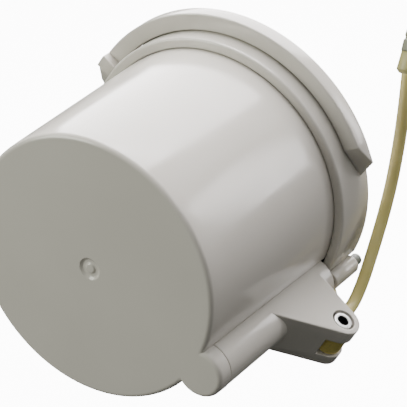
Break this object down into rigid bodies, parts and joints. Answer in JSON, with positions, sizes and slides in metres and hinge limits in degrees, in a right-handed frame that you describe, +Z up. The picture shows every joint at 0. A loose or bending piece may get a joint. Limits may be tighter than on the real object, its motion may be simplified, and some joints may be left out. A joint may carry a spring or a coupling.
{
  "type": "motorised actuator head",
  "caption": "Round motorised valve actuator head: a tapered pot over a geared motor, a base with a bayonet collar, and a clamp arm holding its leads.",
  "frame": {"origin": "centre of the rear mounting face, on the output shaft's axis", "axes": "+Y out of the mounting face towards the valve, along the output shaft; +Z up, where the locking collar's grip arc is; the pot's closed end looks along -Y"},
  "size_m": [0.105, 0.1058, 0.1003],
  "materials": {
    "warm_grey_plastic": "satin moulded",
    "base_grey_plastic": "satin moulded",
    "zinc_steel": "zinc plated",
    "screw_steel": "plain steel",
    "brass": "turned",
    "black_plastic": "moulded",
    "black_rubber": "matte",
    "white_nylon": "moulded",
    "amber_lead": "extruded sheath",
    "olive_plastic": "moulded",
    "grey_green_plastic": "moulded",
    "board_green": "lacquered board"
  },
  "bodies": {
    "casing": {"pot_cover": "warm_grey_plastic", "clamp_arm": "warm_grey_plastic", "rear_sleeve": "warm_grey_plastic", "base_housing": "base_grey_plastic", "back_plate": "base_grey_plastic", "cover_screw_1": "zinc_steel", "cover_screw_2": "zinc_steel", "back_plate_screw_1": "zinc_steel", "back_plate_screw_2": "zinc_steel", "back_plate_screw_3": "zinc_steel", "cover_bolt": "screw_steel", "clamp_screw": "screw_steel", "cover_seal": "black_rubber", "lead_bush": "black_rubber", "shaft_seal": "black_rubber", "clamp_nut": "brass", "retaining_pin": "grey_green_plastic", "lead_ferrule": "olive_plastic", "lead_connector": "grey_green_plastic", "inner_lead": "amber_lead", "supply_lead": "amber_lead", "first_axle": "zinc_steel", "second_axle": "zinc_steel", "front_gear_plate": "zinc_steel", "rear_gear_plate": "zinc_steel", "gearbox_pillar_1": "zinc_steel", "gearbox_pillar_2": "zinc_steel", "gearbox_pillar_3": "zinc_steel", "gearbox_bolt_1": "zinc_steel", "gearbox_bolt_2": "zinc_steel", "gearbox_bolt_3": "zinc_steel", "motor_can": "zinc_steel", "motor_cover": "zinc_steel", "motor_terminals": "black_plastic", "front_bush": "brass", "rear_bush": "brass", "open_limit_switch": "black_plastic", "closed_limit_switch": "black_plastic", "switch_screw_1": "zinc_steel", "switch_screw_2": "zinc_steel", "circuit_board": "board_green", "terminal_block": "white_nylon", "terminal_screw_1": "brass", "terminal_screw_2": "brass", "terminal_screw_3": "brass", "motor_capacitor": "black_plastic"},
    "output": {"output_shaft": "screw_steel", "output_gear": "white_nylon", "switch_cam": "white_nylon"},
    "second_gear": {"second_gear": "white_nylon"},
    "first_gear": {"first_gear": "white_nylon"},
    "motor_drive": {"motor_shaft": "zinc_steel", "motor_pinion": "brass"},
    "open_lever": {"open_limit_lever": "zinc_steel"},
    "closed_lever": {"closed_limit_lever": "zinc_steel"},
    "open_button": {"open_limit_button": "white_nylon"},
    "closed_button": {"closed_limit_button": "white_nylon"},
    "collar": {"locking_collar": "warm_grey_plastic"}
  },
  "joints": [
    {"name": "output_turn", "type": "hinge", "parent": "casing", "child": "output", "pos_m": [0, 0, 0], "axis": [0, 1, 0], "range_deg": [0, 90]},
    {"name": "second_gear_turn", "type": "hinge", "parent": "casing", "child": "second_gear", "pos_m": [-0.01801, 0, 0.0104], "axis": [0, 1, 0], "range_deg": [-302, 2]},
    {"name": "first_gear_turn", "type": "hinge", "parent": "casing", "child": "first_gear", "pos_m": [-0.01982, 0, -0.0063], "axis": [0, 1, 0], "range_deg": [-5, 755]},
    {"name": "motor_turn", "type": "hinge", "parent": "casing", "child": "motor_drive", "pos_m": [-0.00794, 0, 0.00558], "axis": [0, 1, 0], "range_deg": [-1885, 10]},
    {"name": "open_lever_swing", "type": "hinge", "parent": "casing", "child": "open_lever", "pos_m": [0.00855, 0, -0.012], "axis": [0, 1, 0], "range_deg": [-0.05, 6.05]},
    {"name": "closed_lever_swing", "type": "hinge", "parent": "casing", "child": "closed_lever", "pos_m": [-0.00855, 0, -0.012], "axis": [0, 1, 0], "range_deg": [-0.05, 6.05]},
    {"name": "open_button_press", "type": "slide", "parent": "casing", "child": "open_button", "axis": [1, 0, 0], "range_m": [-0.00001, 0.0007457]},
    {"name": "closed_button_release", "type": "slide", "parent": "casing", "child": "closed_button", "axis": [1, 0, 0], "range_m": [-0.00001, 0.0007457]},
    {"name": "collar_turn", "type": "hinge", "parent": "casing", "child": "collar", "pos_m": [0, 0, 0], "axis": [0, 1, 0], "range_deg": [0, 20]}
  ],
  "couplings": [
    {"joint": "second_gear_turn", "follows": "output_turn", "ratio": -3.3333},
    {"joint": "first_gear_turn", "follows": "output_turn", "ratio": 8.3333},
    {"joint": "motor_turn", "follows": "output_turn", "ratio": -20.833},
    {"joint": "open_lever_swing", "follows": "output_turn", "ratio": 0.066667},
    {"joint": "closed_lever_swing", "follows": "output_turn", "ratio": 0.066667},
    {"joint": "open_button_press", "follows": "output_turn", "m_per_rad": 0.00046838},
    {"joint": "closed_button_release", "follows": "output_turn", "m_per_rad": 0.00046838}
  ]
}
